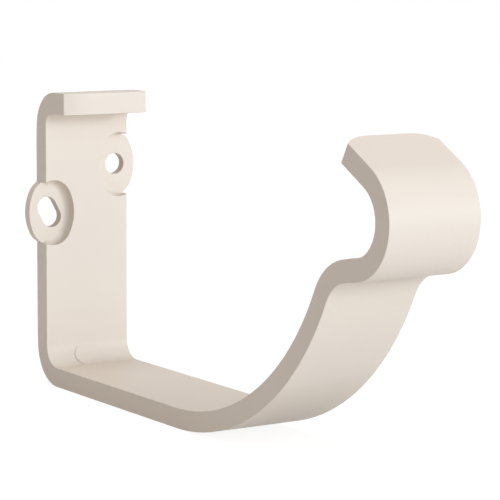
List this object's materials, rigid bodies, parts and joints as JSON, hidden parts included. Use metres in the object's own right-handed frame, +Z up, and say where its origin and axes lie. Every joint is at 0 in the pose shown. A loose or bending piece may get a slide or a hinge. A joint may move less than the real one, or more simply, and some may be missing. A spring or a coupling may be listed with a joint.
{
  "type": "gutter bracket",
  "caption": "Cast bracket that screws to a wall or fascia and holds an ogee gutter under its lip and in its front hook",
  "frame": {"origin": "middle of the back plate's wall face", "axes": "+Y into the wall, -Y out across the gutter to the hook, +Z up, X along the gutter; the slotted ear is at -X and the ear with the round hole at +X"},
  "size_m": [0.0324, 0.1588, 0.079],
  "materials": {
    "cream_coating": "satin cream powder coating over cast aluminium"
  },
  "bodies": {
    "root": {"bracket": "cream_coating"}
  },
  "joints": []
}
